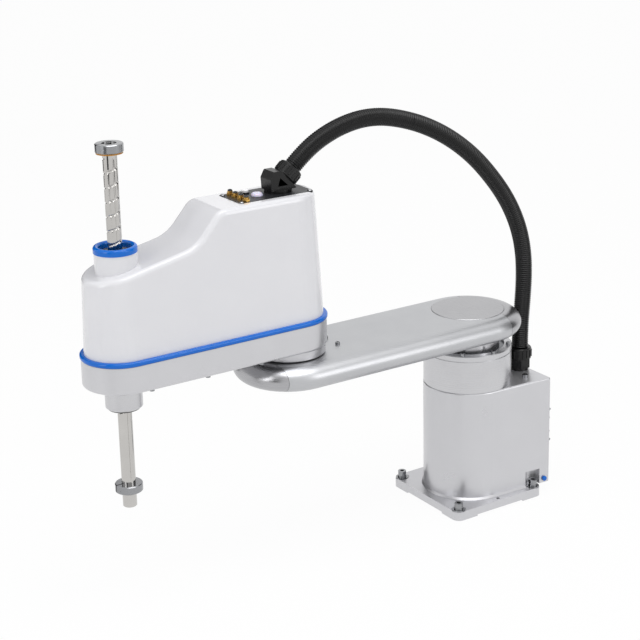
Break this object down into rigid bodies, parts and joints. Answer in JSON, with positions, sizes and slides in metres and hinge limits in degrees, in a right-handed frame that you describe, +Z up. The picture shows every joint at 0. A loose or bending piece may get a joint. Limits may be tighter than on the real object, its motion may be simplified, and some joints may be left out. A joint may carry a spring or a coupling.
{
  "type": "scara robot arm",
  "caption": "Bench-mounted SCARA robot: silver column, two horizontal arms, white cover and a vertical ball screw spline shaft, with an arched black hose.",
  "frame": {"origin": "where the shoulder axis meets the mounting face of the base plate", "axes": "+X along the straight arm to the tool shaft, +Y to the near side, +Z up the shoulder axis"},
  "size_m": [0.8045, 0.172, 0.674],
  "materials": {
    "silver_paint": "satin silver-grey paint",
    "turned_aluminium": "turned",
    "satin_aluminium": "bead blasted satin",
    "polished_aluminium": "polished",
    "drive_steel": "machined",
    "bright_steel": "ground",
    "fastener_steel": "zinc plated",
    "motor_black": "black enamel",
    "pulley_alloy": "anodised",
    "belt_rubber": "moulded",
    "black_nylon": "moulded",
    "seal_rubber": "moulded",
    "white_gloss": "glossy moulded",
    "blue_gloss": "glossy moulded",
    "panel_black": "fine texture powder coat",
    "fitting_brass": "nickel free brass",
    "collar_plastic": "moulded",
    "lamp_lens": "translucent",
    "button_plastic": "moulded",
    "connector_shell": "die cast, powder coated",
    "bumper_amber": "urethane"
  },
  "bodies": {
    "base": {"base_casting": "silver_paint", "bearing_ring": "turned_aluminium", "bearing_ring_screws": "fastener_steel", "base_washers": "fastener_steel", "base_bolts": "fastener_steel", "column_screw": "fastener_steel", "side_plug": "blue_gloss", "shoulder_drive": "drive_steel", "shoulder_motor": "motor_black", "base_gland": "black_nylon", "base_gland_nut": "black_nylon", "connector_housing": "connector_shell", "connector_insert": "black_nylon", "connector_screws": "fastener_steel", "hose_lower": "black_nylon"},
    "arm_1": {"shoulder_hub": "turned_aluminium", "arm_1_casting": "satin_aluminium", "arm_1_front_cap": "polished_aluminium", "arm_1_rear_cap": "polished_aluminium", "arm_1_inlay": "polished_aluminium", "arm_1_screws": "fastener_steel", "elbow_hub": "turned_aluminium", "hose_upper": "black_nylon"},
    "forearm": {"elbow_drive": "drive_steel", "elbow_motor": "motor_black", "forearm_casting": "silver_paint", "forearm_screws": "fastener_steel", "trim_strip": "blue_gloss", "forearm_cover": "white_gloss", "shaft_ring": "blue_gloss", "quill": "turned_aluminium", "quill_seal": "seal_rubber", "nut_bearings": "drive_steel", "turn_belt": "belt_rubber", "lift_belt": "belt_rubber", "screw_bracket": "turned_aluminium", "motor_brackets": "turned_aluminium", "turn_motor": "motor_black", "lift_motor": "motor_black", "top_panel": "panel_black", "panel_screws": "fastener_steel", "air_fittings": "fitting_brass", "release_collars": "collar_plastic", "status_lamp": "lamp_lens", "elbow_connector": "black_nylon", "elbow_connector_nut": "black_nylon"},
    "spline_drive": {"spline_nut": "drive_steel", "spline_pulley": "pulley_alloy"},
    "shaft": {"tool_shaft": "bright_steel", "shaft_collars": "fastener_steel", "collar_screws": "fastener_steel", "stop_bumper": "bumper_amber"},
    "screw_drive": {"screw_nut": "drive_steel", "screw_pulley": "pulley_alloy"},
    "turn_pinion": {"turn_motor_pulley": "pulley_alloy"},
    "lift_pinion": {"lift_motor_pulley": "pulley_alloy"},
    "brake_button": {"brake_button": "button_plastic"},
    "lever_upper": {"lever_upper": "fastener_steel"},
    "lever_lower": {"lever_lower": "fastener_steel"}
  },
  "joints": [
    {"name": "shoulder_turn", "type": "hinge", "parent": "base", "child": "arm_1", "pos_m": [0, 0, 0.272], "axis": [0, 0, 1], "range_deg": [-132, 132], "deforming": ["hose_lower"]},
    {"name": "elbow_turn", "type": "hinge", "parent": "arm_1", "child": "forearm", "pos_m": [0.33, 0, 0.311], "axis": [0, 0, 1], "range_deg": [-145, 145], "deforming": ["hose_upper"]},
    {"name": "shaft_turn", "type": "hinge", "parent": "forearm", "child": "spline_drive", "pos_m": [0.6, 0, 0.3], "axis": [0, 0, 1], "range_deg": [-360, 360]},
    {"name": "shaft_lift", "type": "slide", "parent": "spline_drive", "child": "shaft", "axis": [0, 0, 1], "range_m": [-0.105, 0.095]},
    {"name": "screw_turn", "type": "hinge", "parent": "spline_drive", "child": "screw_drive", "pos_m": [0.6, 0, 0.39], "axis": [0, 0, 1], "range_deg": [-1895, 1715]},
    {"name": "turn_motor_spin", "type": "hinge", "parent": "forearm", "child": "turn_pinion", "pos_m": [0.415, 0, 0.36], "axis": [0, 0, 1], "range_deg": [-620, 620]},
    {"name": "lift_motor_spin", "type": "hinge", "parent": "forearm", "child": "lift_pinion", "pos_m": [0.478, 0, 0.4], "axis": [0, 0, 1], "range_deg": [-3245, 2940]},
    {"name": "button_press", "type": "slide", "parent": "forearm", "child": "brake_button", "axis": [0, 0, 1], "range_m": [-0.002, 0], "stiffness_N_per_m": 500, "springref_m": 0.001},
    {"name": "lever_upper_swing", "type": "hinge", "parent": "base", "child": "lever_upper", "pos_m": [-0.1305, 0.014, 0.1065], "axis": [0, 1, 0], "range_deg": [0, 65]},
    {"name": "lever_lower_swing", "type": "hinge", "parent": "base", "child": "lever_lower", "pos_m": [-0.1305, 0.014, 0.0735], "axis": [0, -1, 0], "range_deg": [0, 65]}
  ],
  "couplings": [
    {"joint": "screw_turn", "follows": "shaft_lift", "rad_per_m": 314.16},
    {"joint": "lift_motor_spin", "follows": "shaft_lift", "rad_per_m": 538.56},
    {"joint": "turn_motor_spin", "follows": "shaft_turn", "ratio": 1.7143}
  ]
}
